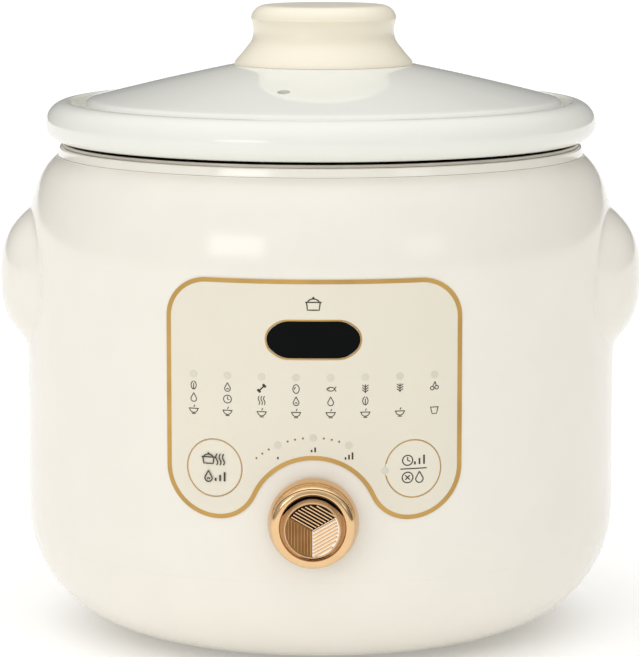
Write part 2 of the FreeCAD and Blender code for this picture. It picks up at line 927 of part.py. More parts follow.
node(cut(
    fuse(
        on_board(13, 13, 6.5, 0, dial),
        cylinder(4.4, 9.0, 0, -encoder_front, dial, "-y")),
    cylinder(5.2, 5.2, 0, -board_front - 0.6, dial, "-y"),
    cylinder(shaft + running, 30, 0, -board_front - 0.6, dial, "-y")), "encoder_body")
node(dial_turned([
    (0, board_front + 0.9),
    (4.8, board_front + 0.9),
    (4.8, board_front + 5.4),
    (shaft + running, board_front + 5.4),
    (shaft + running, board_front + 1.8),
    (0, board_front + 1.8),
]), "encoder_rotor")
node(dial_turned([
    (0, board_front + 2.6),
    (shaft, board_front + 2.6),
    (shaft, dial_front - 9),
    (0, dial_front - 9),
]), "encoder_shaft")
node(dial_turned([
    (4.45, encoder_end - 4.4),
    (6.4, encoder_end - 4.4),
    (6.4, encoder_end - 1.2),
    (4.45, encoder_end - 1.2),
]), "encoder_nut")
node(cut(
    pipe(dial_radius - 0.6, 14.5, 9, 0, 9.8 - dial_back, dial, "-y"),
    cylinder(film_inner, 60, z=dial - 30)), "dial_base_ring")

# The knob cap: a skirt, a bevelled shoulder and a raised boss with a slightly domed top.
boss_foot = dial_front - 5.5
node(dial_turned([
    (0, dial_front - 2.3),
    (10.2, dial_front - 2.3),
    (12.6, boss_foot - 1.5),
    (14.2, boss_foot - 1.8),
    (17.0, dial_back + 4.5),
    (18.3, dial_back),
    (dial_radius - 0.2, dial_back),
    (dial_radius, dial_back + 0.4),
    (dial_radius - 0.3, dial_back + 4.0, 3.5),
    (dial_radius - 2.2, dial_back + 6.8),
    (dial_radius - 4.6, boss_foot),
    (dial_radius - 5.2, boss_foot, -0.4),
    (dial_radius - 5.5, boss_foot + 0.3),
    (12.6, dial_front - 0.9, 0.6),
    (12.1, dial_front - 0.5, dome(12.1, 0.8)),
    (0, dial_front + 0.3),
]), "knob_cap")
node(dial_turned([
    (shaft + 0.02, dial_back + 1.5),
    (6.0, dial_back + 1.5),
    (6.0, dial_front - 7.6),
    (16.0, dial_back + 3.0),
    (16.6, dial_back + 4.4),
    (13.9, boss_foot - 1.95),
    (12.4, boss_foot - 1.65),
    (10.1, dial_front - 2.4),
    (0, dial_front - 2.4),
    (0, dial_front - 8.9),
    (shaft + 0.02, dial_front - 8.9),
]), "knob_core")

# ---------------------------------------------------------------- power board and supply
board_top = BOARD_LEVEL + 1.6
node(cut(
    block(104, 60, 1.6, 0, BOARD_CENTRE, BOARD_LEVEL),
    *[cylinder(1.7, 4, x, y, BOARD_LEVEL - 1) for x, y in BOARD_SCREWS]), "power_board")
node(group(*[screw(2.8, 1.6, 1.1, 7, x, y, board_top + 1.7, "-z") for x, y in BOARD_SCREWS]), "board_screws")
node(block(15.5, 19, 15.7, -31, 48, board_top), "relay")
node(fuse(
    block(24, 20, 5, 4, 30, board_top),
    block(20, 24, 14, 4, 30, board_top)), "transformer")
node(block(8, 18, 14, -16, 36, board_top), "film_capacitor")
node(fuse(
    cylinder(2.6, 20, -36, 20, board_top + 3.2, "x"),
    cylinder(3.0, 5, -36, 20, board_top + 3.2, "x"),
    cylinder(3.0, 5, -21, 20, board_top + 3.2, "x")), "board_fuse")
node(cut(
    block(10, 30, 12, 34, 36, board_top),
    *[cylinder(2.0, 6, 34, 36 + step, board_top + 8) for step in (-9, 0, 9)]), "terminal_block")

SOCKET_DEPTH = 17.0
PINS = ((-7, -1.5), (0, 3.5), (7, -1.5))
inlet_low = inlet_level - inlet_high / 2


def inlet_pin(x, z):
    return block(2, 32, 4, x, inlet_face - 3 - 16, inlet_level + z - 2)


node(cut(
    block(inlet_wide, 26, inlet_high, 0, inlet_face - 13, inlet_low),
    block(24, SOCKET_DEPTH, 16, 0, inlet_face - SOCKET_DEPTH / 2, inlet_level - 8),
    *[inlet_pin(x, z) for x, z in PINS]), "power_inlet")
node(group(*[inlet_pin(x, z) for x, z in PINS]), "inlet_pins")

# ---------------------------------------------------------------- check and write
doc.recompute()
faults = [item.Name for item in doc.Objects if "Invalid" in item.State or "Error" in item.State]
for item in NODES:
    if item.Shape.isNull() or not item.Shape.isValid() or not item.Shape.Solids:
        faults.append(item.Label)
if faults:
    raise RuntimeError(f"these objects failed: {faults}")
os.makedirs("parts", exist_ok=True)
for item in NODES:
    item.Shape.exportStep(f"parts/{item.Label}.step")
    box = item.Shape.BoundBox
    print(f"{item.Label:20s} solids {len(item.Shape.Solids):2d} volume {item.Shape.Volume / 1000:9.2f} cm3 "
          f"x {box.XMin:7.1f} {box.XMax:7.1f} y {box.YMin:7.1f} {box.YMax:7.1f} z {box.ZMin:6.1f} {box.ZMax:6.1f}")
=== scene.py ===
"""A round slow cooker: its looks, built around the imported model.

Sizes are in millimetres until they meet a mesh. The floor, lights and camera at the end are in metres.
"""

import math

import bmesh
import bpy
from mathutils import Matrix, Vector


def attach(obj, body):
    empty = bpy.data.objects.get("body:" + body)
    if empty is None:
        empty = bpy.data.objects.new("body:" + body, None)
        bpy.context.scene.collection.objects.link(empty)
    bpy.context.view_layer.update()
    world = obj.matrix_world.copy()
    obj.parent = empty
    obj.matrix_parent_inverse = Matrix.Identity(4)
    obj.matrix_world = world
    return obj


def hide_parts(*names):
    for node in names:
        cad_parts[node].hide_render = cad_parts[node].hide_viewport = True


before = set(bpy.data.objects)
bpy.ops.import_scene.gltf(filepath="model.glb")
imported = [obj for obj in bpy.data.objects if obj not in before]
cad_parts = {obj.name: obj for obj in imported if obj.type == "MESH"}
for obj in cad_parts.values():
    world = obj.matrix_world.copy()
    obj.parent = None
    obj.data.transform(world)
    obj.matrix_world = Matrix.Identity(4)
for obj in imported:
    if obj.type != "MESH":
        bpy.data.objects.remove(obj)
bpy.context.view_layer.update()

MM = 0.001
BARREL = 140.0          # radius of the housing's straight wall
LID_SHIFT = 1.5         # the lid sits this far to the right of the pot's axis
DIAL_LEVEL = 75.7       # level of the selector's axis
FILM_BACK = 140.03      # the panel's film, as distances from the body's axis
FILM_FACE = 140.45
PRINT_SINK = 0.02       # prints reach this far into the film
PRINT_RISE = 0.06       # and stand this far above it
LONGEST_RUN = 2.0       # straight runs no longer than this follow the barrel closely
SHARP = math.radians(32)


# ---------------------------------------------------------------- materials
def srgb(red, green, blue):
    """A colour given as 0 to 255 screen values, as the linear colour a shader wants."""
    def linear(value):
        value /= 255
        return value / 12.92 if value <= 0.04045 else ((value + 0.055) / 1.055) ** 2.4
    return (linear(red), linear(green), linear(blue), 1.0)


def scaled(colour, factor):
    """The same colour, lighter or darker."""
    return tuple(channel * factor for channel in colour[:3]) + (1.0,)


def material(name, colour, roughness, metallic=0.0, coat=0.0, mottle=0.03, patch=40.0,
             bump=0.1, grain=900.0, stretch=(1, 1, 1), ior=1.5, transmission=0.0, rough_span=0.05,
             specular=0.5, glow=0.0):
    """A surface with soft patches of colour, uneven gloss and a fine grain. patch and grain are per metre."""
    item = bpy.data.materials.new(name)
    item.use_nodes = True
    tree = item.node_tree
    shader = tree.nodes["Principled BSDF"]
    shader.inputs["Metallic"].default_value = metallic
    shader.inputs["IOR"].default_value = ior
    shader.inputs["Coat Weight"].default_value = coat
    shader.inputs["Coat Roughness"].default_value = 0.04
    shader.inputs["Transmission Weight"].default_value = transmission
    shader.inputs["Specular IOR Level"].default_value = specular
    shader.inputs["Emission Color"].default_value = colour
    shader.inputs["Emission Strength"].default_value = glow

    place = tree.nodes.new("ShaderNodeTexCoord")
    squeeze = tree.nodes.new("ShaderNodeMapping")
    squeeze.inputs["Scale"].default_value = stretch
    tree.links.new(place.outputs["Object"], squeeze.inputs["Vector"])

    def noise(scale, detail):
        node = tree.nodes.new("ShaderNodeTexNoise")
        node.inputs["Scale"].default_value = scale
        node.inputs["Detail"].default_value = detail
        tree.links.new(squeeze.outputs["Vector"], node.inputs["Vector"])
        return node.outputs["Fac"]

    patches = noise(patch, 3.0)
    ramp = tree.nodes.new("ShaderNodeValToRGB")
    ramp.color_ramp.elements[0].position = 0.3
    ramp.color_ramp.elements[1].position = 0.7
    ramp.color_ramp.elements[0].color = scaled(colour, 1.0 - mottle)
    ramp.color_ramp.elements[1].color = scaled(colour, min(1.0 + mottle, 1.0 / max(colour[:3])))
    tree.links.new(patches, ramp.inputs["Fac"])
    tree.links.new(ramp.outputs["Color"], shader.inputs["Base Color"])

    spread = tree.nodes.new("ShaderNodeMapRange")
    spread.inputs["To Min"].default_value = max(roughness - rough_span, 0.0)
    spread.inputs["To Max"].default_value = roughness + rough_span
    tree.links.new(noise(patch * 4, 4.0), spread.inputs["Value"])
    tree.links.new(spread.outputs["Result"], shader.inputs["Roughness"])

    relief = tree.nodes.new("ShaderNodeBump")
    relief.inputs["Strength"].default_value = bump
    relief.inputs["Distance"].default_value = 0.00005
    tree.links.new(noise(grain, 2.0), relief.inputs["Height"])
    tree.links.new(relief.outputs["Normal"], shader.inputs["Normal"])
    return item


ENAMEL = material("cream_enamel", srgb(238, 233, 222), 0.14, mottle=0.010, bump=0.05, grain=500)
COLLAR = material("cream_collar", srgb(243, 239, 228), 0.16, coat=0.5, mottle=0.008, bump=0.03)
GLAZE = material("white_glaze", srgb(234, 234, 226), 0.06, mottle=0.010, patch=25, bump=0.08, grain=70,
                 rough_span=0.03)
KNOB_CREAM = material("knob_cream", srgb(246, 238, 217), 0.30, coat=0.2, mottle=0.008, bump=0.05)
PANEL = material("panel_print", srgb(229, 222, 204), 0.32, coat=0.15, mottle=0.008, bump=0.06, grain=1500)
KEY = material("key_print", srgb(230, 223, 205), 0.32, coat=0.15, mottle=0.008, bump=0.06, grain=1500)
GOLD_PRINT = material("gold_print", srgb(192, 152, 80), 0.34, metallic=0.35, mottle=0.12, patch=45, bump=0.1)
INK = material("ink", srgb(62, 54, 46), 0.5, mottle=0.06, patch=300, bump=0.05, specular=0.3)
SPOT = material("lamp_spot", srgb(214, 208, 192), 0.35, mottle=0.03, patch=200, bump=0.02)
LENS = material("smoked_lens", srgb(8, 10, 9), 0.10, mottle=0.1, bump=0.01, specular=0.05)
ROSE = material("rose_gold", srgb(227, 190, 144), 0.14, metallic=1.0, mottle=0.03, patch=120, bump=0.08,
                grain=2500, stretch=(1, 0.15, 1))
# Painted dark reflection on the selector's rose gold: the top field's floor and its thin dark lines.
DARK_REFLECTION_GOLD = material("painted_dark_reflection", srgb(34, 18, 10), 0.40, specular=0.1, mottle=0.15, patch=200, bump=0.2)
# Painted brown reflection on the rose gold of the selector's left field of ridges.
BROWN_REFLECTION_GOLD = material("painted_brown_reflection", srgb(176, 133, 82), 0.30, metallic=0.8, mottle=0.08, patch=200, bump=0.2)
# A darker, less metallic copy of the rose gold: painted shade for the selector's recess and the walls of its
# boss.
RECESS_SHADE_GOLD = material("painted_recess_shade", srgb(216, 176, 128), 0.24, metallic=0.3, mottle=0.06, patch=200, bump=0.2)
# Brown gold: the real print of the heat scale's dots, and a painted brown reflection on the selector's left
# field floor.
PRINT_AND_REFLECTION_GOLD = material("brown_print_and_painted_reflection", srgb(146, 104, 60), 0.35, metallic=0.6, mottle=0.08, patch=200, bump=0.2)
# Painted light reflection on the rose gold of the selector's right field floor.
LIGHT_REFLECTION_GOLD = material("painted_light_reflection", srgb(255, 246, 232), 0.30, metallic=0.6, mottle=0.02, patch=200, bump=0.1)
SHADE = material("shade", srgb(8, 6, 5), 0.6, mottle=0.1, bump=0.02, specular=0.03)
STEEL = material("steel", srgb(176, 174, 170), 0.32, metallic=1.0, mottle=0.06, patch=80, bump=0.2,
                 grain=1500)
CHAMBER = material("chamber_steel", srgb(198, 190, 178), 0.40, metallic=0.6, mottle=0.08, patch=60, bump=0.25,
                   grain=1200, stretch=(1, 1, 0.2))
ALUMINIUM = material("aluminium", srgb(205, 205, 205), 0.38, metallic=1.0, mottle=0.05, bump=0.3, grain=1600)
SLEEVE = material("woven_sleeve", srgb(214, 209, 196), 0.85, mottle=0.12, patch=500, bump=0.9, grain=1400,
                  stretch=(1, 1, 3))
RUBBER = material("rubber", srgb(44, 44, 45), 0.75, mottle=0.12, patch=200, bump=0.5, grain=1800)
SILICONE = material("silicone", srgb(206, 206, 200), 0.5, mottle=0.04, bump=0.2)
BLACK = material("black_plastic", srgb(28, 28, 29), 0.42, mottle=0.12, patch=120, bump=0.5, grain=2200)
BOARD = material("circuit_board", srgb(34, 92, 52), 0.35, coat=0.3, mottle=0.25, patch=220, bump=0.6,
                 grain=900)
CLEAR = material("clear_rod", srgb(238, 238, 232), 0.12, mottle=0.02, bump=0.02, transmission=0.85, ior=1.49)
BLUE = material("relay_case", srgb(34, 72, 140), 0.38, mottle=0.08, bump=0.3)
AMBER = material("winding_tape", srgb(208, 170, 52), 0.45, mottle=0.12, patch=300, bump=0.3,
                 stretch=(1, 1, 4))
OCHRE = material("capacitor_case", srgb(212, 160, 44), 0.40, mottle=0.06, bump=0.25)
GREEN = material("terminal_case", srgb(38, 120, 62), 0.42, mottle=0.08, bump=0.3)
BRASS = material("brass", srgb(214, 186, 120), 0.25, metallic=1.0, mottle=0.06, patch=200, bump=0.2)

FINISHES = {
    "outer_shell": ENAMEL, "base_cover": ENAMEL, "rubber_feet": RUBBER, "base_screws": STEEL,
    "collar_ring": COLLAR, "heating_chamber": CHAMBER, "heat_shield": STEEL, "band_heater": SLEEVE,
    "bottom_heater": ALUMINIUM, "sensor_bracket": STEEL, "sensor_cap": ALUMINIUM, "sensor_spring": STEEL,
    "thermal_fuse": SLEEVE, "inner_pot": GLAZE, "lid": GLAZE, "lid_knob": KNOB_CREAM,
    "lid_knob_insert": BLACK, "lid_knob_washer": SILICONE, "lid_knob_screw": STEEL, "panel_film": PANEL,
    "display_lens": LENS, "display_board": BOARD, "display_module": BLACK, "indicator_lamps": SPOT,
    "light_guides": CLEAR, "keep_warm_key": KEY, "timer_key": KEY, "tact_switches": BLACK,
    "encoder_body": STEEL, "encoder_rotor": BLACK, "encoder_shaft": ALUMINIUM, "encoder_nut": STEEL,
    "dial_base_ring": ROSE, "knob_cap": ROSE, "knob_core": BLACK, "power_board": BOARD,
    "board_screws": STEEL, "relay": BLUE, "transformer": AMBER, "film_capacitor": OCHRE,
    "board_fuse": CLEAR, "terminal_block": GREEN, "power_inlet": BLACK, "inlet_pins": BRASS,
}
for node_name, node_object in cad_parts.items():
    node_object.data.materials.clear()
    node_object.data.materials.append(FINISHES[node_name])


# ---------------------------------------------------------------- mesh building
def closed_mesh(name, points, faces):
    """A mesh from points in millimetres, with its faces turned outwards."""
    mesh = bpy.data.meshes.new(name)
    mesh.from_pydata([tuple(value * MM for value in point) for point in points], [], faces)
    shape = bmesh.new()
    shape.from_mesh(mesh)
    bmesh.ops.recalc_face_normals(shape, faces=shape.faces)
    shape.to_mesh(mesh)
    shape.free()
    return mesh


def smooth_faces(mesh):
    """Smooth shading, with clear edges left sharp."""
    mesh.polygons.foreach_set("use_smooth", [True] * len(mesh.polygons))
    mesh.set_sharp_from_angle(angle=SHARP)


def placed(name, data):
    """A new object in the scene."""
    item = bpy.data.objects.new(name, data)
    bpy.context.scene.collection.objects.link(item)
    return item


def piece(name, points, faces, body, finish, replaces=(), slot=None):
    """A piece of the cooker. It rides on a body and may stand for CAD nodes."""
    mesh = closed_mesh(name, points, faces)
    smooth_faces(mesh)
    item = placed(name, mesh)
    mesh.materials.append(finish)
    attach(item, body)
    if replaces:
        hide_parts(*replaces)
    return item


def bend(centre, radius, start, end, step=5.0):
    """Points along an arc, angles in degrees."""
    count = max(2, math.ceil(abs(end - start) / step) + 1)
    angles = [math.radians(start + (end - start) * index / (count - 1)) for index in range(count)]
    return [(centre[0] + radius * math.cos(angle), centre[1] + radius * math.sin(angle)) for angle in angles]


def lathe(profile, turns=288, shift=0.0):
    """Points and faces of a profile turned about the upright axis. The profile is (radius, level)."""
    points = []
    rings = []
    for radius, level in profile:
        if radius < 1e-6:
            rings.append([len(points)] * turns)
            points.append((shift, 0.0, level))
            continue
        rings.append(list(range(len(points), len(points) + turns)))
        for index in range(turns):
            angle = 2 * math.pi * index / turns
            points.append((shift + radius * math.cos(angle), radius * math.sin(angle), level))
    faces = []
    closed = profile[0][0] > 1e-6
    pairs = list(zip(rings, rings[1:])) + ([(rings[-1], rings[0])] if closed else [])
    for low, high in pairs:
        for index in range(turns):
            after = (index + 1) % turns
            corners = [low[index], low[after], high[after], high[index]]
            face = [corner for spot, corner in enumerate(corners) if corner not in corners[:spot]]
            if len(face) > 2:
                faces.append(face)
    return points, faces


def forward(points, level=DIAL_LEVEL):
    """Turn a piece on the upright axis onto the selector's axis. Its height becomes distance ahead."""
    return [(x, -height, level + y) for x, y, height in points]


def wrapped(across, level, reach):
    """A point of the flat panel drawing laid on the barrel, at a distance from the body's axis."""
    angle = math.asin(across / BARREL)
    return (reach * math.sin(angle), -reach * math.cos(angle), level)


def divided(path, closed):
    """The same path with its long runs divided evenly."""
    dense = []
    for index, here in enumerate(path):
        dense.append(here)
        if index == len(path) - 1 and not closed:
            break
        after = path[(index + 1) % len(path)]
        steps = math.ceil(math.dist(here, after) / LONGEST_RUN)
        for step in range(1, steps):
            share = step / steps
            dense.append((here[0] + (after[0] - here[0]) * share, here[1] + (after[1] - here[1]) * share))
    return dense


class Print:
    """Flat shapes laid on the barrel as one thin raised mesh."""

    def __init__(self, rise=PRINT_RISE):
        self.low = FILM_FACE - PRINT_SINK
        self.high = FILM_FACE + rise
        self.points = []
        self.faces = []

    def ribbon(self, path, width, closed=False):
        """A stroke of even width along a path of (across, level) points."""
        path = divided(path, closed)
        count = len(path)
        base = len(self.points)
        for index in range(count):
            before = path[index - 1] if closed or index else path[index]
            after = path[(index + 1) % count] if closed or index < count - 1 else path[index]
            way = Vector((after[0] - before[0], after[1] - before[1])).normalized()
            side = Vector((-way.y, way.x)) * (width / 2)
            x, z = path[index]
            for sign, reach in ((1, self.low), (1, self.high), (-1, self.high), (-1, self.low)):
                self.points.append(wrapped(x + side.x * sign, z + side.y * sign, reach))
        for index in range(count if closed else count - 1):
            here = base + index * 4
            there = base + ((index + 1) % count) * 4
            for edge in range(4):
                other = (edge + 1) % 4
                self.faces.append((here + edge, here + other, there + other, there + edge))
        if not closed:
            last = base + (count - 1) * 4
            self.faces.append((base, base + 1, base + 2, base + 3))
            self.faces.append((last + 3, last + 2, last + 1, last))

    def arc(self, centre, radius, start, end, width):
        """A stroke along an arc, with angles in degrees."""
        step = max(4.0, 40.0 / radius)
        self.ribbon(bend(centre, radius, start, end, step), width)

    def ring(self, centre, radius, width):
        """A stroke round a full circle."""
        step = max(3.0, min(20.0, 60.0 / radius))
        self.ribbon(bend(centre, radius, 0, 360, step)[:-1], width, closed=True)

    def disc(self, centre, radius):
        """A filled spot."""
        edge = bend(centre, radius, 0, 360, 15.0)[:-1]
        base = len(self.points)
        for reach in (self.low, self.high):
            self.points.extend(wrapped(x, z, reach) for x, z in edge)
        count = len(edge)
        self.faces.append(tuple(base + index for index in reversed(range(count))))
        self.faces.append(tuple(base + count + index for index in range(count)))
        for index in range(count):
            after = (index + 1) % count
            self.faces.append((base + index, base + after, base + count + after, base + count + index))

    def build(self, name, body, finish, slot):
        """Make one piece of everything printed so far."""
        piece(name, self.points, self.faces, body, finish, slot=slot)


def plate(name, loops, low, high, body, finish, slot, replaces):
    """A thin curved plate on the barrel. The first loop is its outline and the others are holes in it."""
    flat = bmesh.new()
    edges = []
    for loop in loops:
        corners = [flat.verts.new((x, z, 0)) for x, z in loop]
        edges += [flat.edges.new((corners[index - 1], corners[index])) for index in range(len(corners))]
    bmesh.ops.triangle_fill(flat, use_beauty=True, use_dissolve=False, edges=edges)
    widest = max(x for x, _ in loops[0])
    cuts = int(widest // LONGEST_RUN)
    for index in range(-cuts, cuts + 1):
        bmesh.ops.bisect_plane(
            flat, geom=flat.verts[:] + flat.edges[:] + flat.faces[:],
            plane_co=(index * LONGEST_RUN, 0, 0), plane_no=(1, 0, 0))
    flat.verts.index_update()
    corners = [vertex.co.copy() for vertex in flat.verts]
    count = len(corners)
    points = [wrapped(co.x, co.y, reach) for reach in (low, high) for co in corners]
    faces = []
    for face in flat.faces:
        ring = [vertex.index for vertex in face.verts]
        faces.append(tuple(reversed(ring)))
        faces.append(tuple(count + index for index in ring))
    for edge in flat.edges:
        if edge.is_boundary:
            first, second = (vertex.index for vertex in edge.verts)
            faces.append((first, second, count + second, count + first))
    flat.free()
    piece(name, points, faces, body, finish, replaces=replaces, slot=slot)


def drill(item, *tools):
    """Cut closed shapes, each given as points and faces, out of a piece. No modifier is left behind."""
    for points, faces in tools:
        bit = placed("drill", closed_mesh("drill", points, faces))
        modifier = item.modifiers.new("drill", "BOOLEAN")
        modifier.object = bit
        modifier.operation = "DIFFERENCE"
        modifier.solver = "EXACT"
        bpy.context.view_layer.update()
        cut_item = item.evaluated_get(bpy.context.evaluated_depsgraph_get())
        result = bpy.data.meshes.new_from_object(cut_item)
        item.modifiers.clear()
        item.data = result
        bpy.data.objects.remove(bit)
    smooth_faces(item.data)


# ---------------------------------------------------------------- body
def smooth_max(first, second, width):
    """The larger of two values, with a fillet of the given width where they cross."""
    overlap = max(width - abs(first - second), 0.0) / width
    return max(first, second) + overlap * overlap * width / 4


# A side grip is a bulge with a rounded outline. It stands GRIP_RISE out of an upright plane at GRIP_ROOT.
GRIP_LEVEL = 169.5
GRIP_ROOT = 117.5
GRIP_RISE = 34.6
GRIP_HALF_DEPTH = 55.0
GRIP_ABOVE = 34.5
GRIP_BELOW = 36.0
GRIP_POWER = 2.5
GRIP_FILLET = 6.0
GRIP_NEAR = 45.0        # further than this above or below its level, a grip has no effect
GRIP_COSINE = 0.8       # nor does it where the direction turns further from the side than this
GRIP_STEPS = 12         # rounds of the search for the grip's surface


def grip_reach(depth, level):
    """How far out a side grip stands, at a depth from its middle and at a level."""
    half = GRIP_ABOVE if level > GRIP_LEVEL else GRIP_BELOW
    spread = abs(depth / GRIP_HALF_DEPTH) ** GRIP_POWER + abs((level - GRIP_LEVEL) / half) ** GRIP_POWER
    if spread >= 1.0:
        return 0.0
    return GRIP_ROOT + GRIP_RISE * (1.0 - spread) ** (1.0 / GRIP_POWER)


def body_reach(angle, radius, level):
    """The body's radius at an angle from +X: the barrel, or a grip where that stands out further."""
    cosine = abs(math.cos(angle))
    if cosine < GRIP_COSINE or abs(level - GRIP_LEVEL) > GRIP_NEAR:
        return radius
    reach = radius
    for _ in range(GRIP_STEPS):
        out = grip_reach(reach * math.sin(angle), level)
        if out == 0.0:
            return smooth_max(radius, GRIP_ROOT, GRIP_FILLET)
        reach = 0.5 * reach + 0.5 * out / cosine
    return smooth_max(radius, reach, GRIP_FILLET)


def bulged(point):
    """A point of the barrel's outer face, moved out to a grip where one covers it."""
    x, y, z = point
    angle = math.atan2(y, x)
    reach = body_reach(angle, math.hypot(x, y), z)
    return (reach * math.cos(angle), reach * math.sin(angle), z)


SHELL_FOOT = 47.82
SHELL_TOP = 226.5
SHELL_EDGE = 0.4
CORNER_CENTRE = (84.0, 59.0)
CORNER = 56.0
WALL_STEP = 1.5         # the straight wall is cut into steps, so that a grip can bulge out of it
WALL_STEPS = 80
SHOULDER_CENTRE = (40.0, 180.0)
SHOULDER = 100.0
BROW_CENTRE = (106.19, 202.79)
BROW = 30.0
BROW_START = 19
SHELL_TURNS = 480
seam_angle = math.degrees(math.asin((SHELL_FOOT - CORNER_CENTRE[1]) / CORNER))
brow_end = math.degrees(math.asin((SHELL_TOP - SHELL_EDGE - BROW_CENTRE[1]) / BROW))
outer = bend(CORNER_CENTRE, CORNER, seam_angle, 0, 1.5)
outer += [(BARREL, CORNER_CENTRE[1] + index * WALL_STEP) for index in range(1, WALL_STEPS + 1)]
outer += bend(SHOULDER_CENTRE, SHOULDER, 0, BROW_START, 0.9)[1:]
outer += bend(BROW_CENTRE, BROW, BROW_START, brow_end, 3)[1:]
last_radius, last_level = outer[-1]
outer += bend((last_radius - SHELL_EDGE, last_level), SHELL_EDGE, 20, 90, 15)
inner = [(121.0, SHELL_TOP), (121.0, 223.6), (126.0, 222.0), (131.5, 213.0), (137.0, 186.0), (137.5, 60.0),
         (136.6, SHELL_FOOT)]
shell_points, shell_faces = lathe(outer + inner, SHELL_TURNS)
outer_count = len(outer) * SHELL_TURNS
shell_points = [bulged(point) for point in shell_points[:outer_count]] + shell_points[outer_count:]
shell = piece("housing", shell_points, shell_faces, "base", ENAMEL, replaces=["outer_shell"],
              slot="cream_enamel")

KEY_ANGLE = math.radians(18.3)
KEY_LEVEL = 98.7
KEY_RADIUS = 13.0
KEY_HOLE = KEY_RADIUS + 0.15
KEY_ACROSS = math.sin(KEY_ANGLE) * BARREL
KEY_SIDES = (("keep_warm", -1), ("timer", 1))
SHAFT_HOLE = 4.6
DRILL_FRONT = 150.0     # the holes are cut between these distances from the body's axis
KEY_DRILL_BACK = 130.0
SHAFT_DRILL_BACK = 120.0


def rod(radius, near, far, turns):
    """An upright cylinder between two levels."""
    return lathe([(0, near), (radius, near), (radius, far), (0, far)], turns)


def key_drill(side):
    """A cylinder square to the barrel, where a key goes through the housing."""
    points, faces = rod(KEY_HOLE, KEY_DRILL_BACK, DRILL_FRONT, 96)
    turn = Matrix.Rotation(side * KEY_ANGLE, 3, "Z")
    moved = [turn @ Vector(point) for point in forward(points, level=0.0)]
    return [(point.x, point.y, point.z + KEY_LEVEL) for point in moved], faces


shaft_points, shaft_faces = rod(SHAFT_HOLE, SHAFT_DRILL_BACK, DRILL_FRONT, 48)
drill(shell, key_drill(-1), key_drill(1), (forward(shaft_points), shaft_faces))

collar = [(118.2, 226.55), (124.4, 226.55), (124.6, 226.7), (123.95, 229.7)]
collar += bend((123.1, 229.75), 0.85, 0, 90, 15) + [(118.6, 230.6), (118.2, 230.2)]
piece("collar", *lathe(collar), "base", COLLAR, replaces=["collar_ring"], slot="cream_collar")

# ---------------------------------------------------------------- pot, lid and lid knob
# Painted shade: a dark ring fills the gap that shows between the pot's rim and the collar, standing in for
# the shadow there.
gap_shade = [(115.5, 232.05), (120.6, 232.05), (120.9, 232.4), (120.6, 232.95), (115.5, 232.95)]
piece("pot_gap_shade", *lathe(gap_shade), "base", SHADE)

pot = [(0, 62.0)] + bend((60.0, 108.0), 46.0, -90, 0)
pot += [(106.0, 180.0), (106.6, 200.0), (108.0, 218.0), (109.5, 229.3)]
pot += bend((113.5, 229.3), 4.0, 180, 90, 15)
pot += bend((122.5, 241.4), 8.1, -90, 0, 4)
pot += bend((120.3, 241.4), 10.3, 4, 90, 4)
pot += bend((120.3, 250.0), 1.7, 95, 180, 12)
pot += [(118.6, 247.2)] + bend((117.1, 246.9), 1.5, -10, -90, 15)
pot += [(112.0, 245.4), (106.5, 245.4)] + bend((106.5, 243.4), 2.0, 100, 180, 15)
pot += [(103.5, 236.0), (102.0, 218.0), (100.6, 200.0), (100.0, 180.0)] + bend((60.0, 108.0), 40.0, 0, -90)
pot += [(0, 68.0)]
piece("pot", *lathe(pot), "pot", GLAZE, replaces=["inner_pot"], slot="white_glaze")

LID_FOOT = 245.6
LID_THICK = 6.5
CONE_EDGE = 110.6       # the lid's cone runs from this radius, at CONE_FOOT, in to the knob's flat seat
CONE_FOOT = 252.9
CONE_SWELL = 0.55
SEAT = 271.2
SEAT_RADIUS = 30.0


def lid_level(radius):
    """The lid's upper face: a shallow cone with a slight swell."""
    run = CONE_EDGE - SEAT_RADIUS
    rise = (SEAT - CONE_FOOT) * (CONE_EDGE - radius) / run
    return CONE_FOOT + rise + CONE_SWELL * math.sin(math.pi * (radius - SEAT_RADIUS) / run)


lid = [(3.3, SEAT - LID_THICK), (SEAT_RADIUS, SEAT - LID_THICK), (60.0, 258.6), (94.0, 249.2), (96.3, 241.0)]
lid += bend((97.0, 240.6), 1.0, 200, 270, 20) + bend((100.5, 240.6), 1.0, -90, -10, 20)
lid += [(102.0, LID_FOOT), (112.0, LID_FOOT)] + bend((112.0, LID_FOOT + 2.0), 2.0, -80, 0, 10)
lid += bend((108.6, 247.8), 5.4, 3, 72, 5)
lid += [(radius, lid_level(radius)) for radius in range(108, 28, -3)] + [(3.3, SEAT)]
lid_piece = piece("lid_dome", *lathe(lid, shift=LID_SHIFT), "lid", GLAZE, replaces=["lid"],
                  slot="white_glaze")

VENT = (-14.9, -76.3)
vent_points, vent_faces = lathe([(0, 240.0), (3.0, 240.0), (3.0, 261.6), (4.2, 263.4), (0, 263.4)], 48)
drill(lid_piece, ([(x + VENT[0], y + VENT[1], z) for x, y, z in vent_points], vent_faces))

KNOB_FOOT = 42.2
foot_level = lid_level(KNOB_FOOT)
knob = [(0, SEAT + 0.1), (30.5, SEAT + 0.1), (KNOB_FOOT, foot_level + 0.02)]
knob += [(KNOB_FOOT + 0.2, foot_level + 0.15), (KNOB_FOOT + 0.15, foot_level + 0.5)]
knob += [(41.7, 270.6), (39.0, 273.6), (36.6, 276.6)]
knob += [(35.0, 278.6), (34.0, 280.4), (33.5, 282.4), (33.3, 284.4), (33.5, 287.0)]
knob += [(34.1, 289.6)] + bend((27.5, 289.6), 7.0, 4, 84, 6)
knob += [(20.0, 296.6), (10.0, 296.7), (0, 296.7)]
piece("lid_handle", *lathe(knob, shift=LID_SHIFT), "lid", KNOB_CREAM, replaces=["lid_knob"],
      slot="knob_cream")


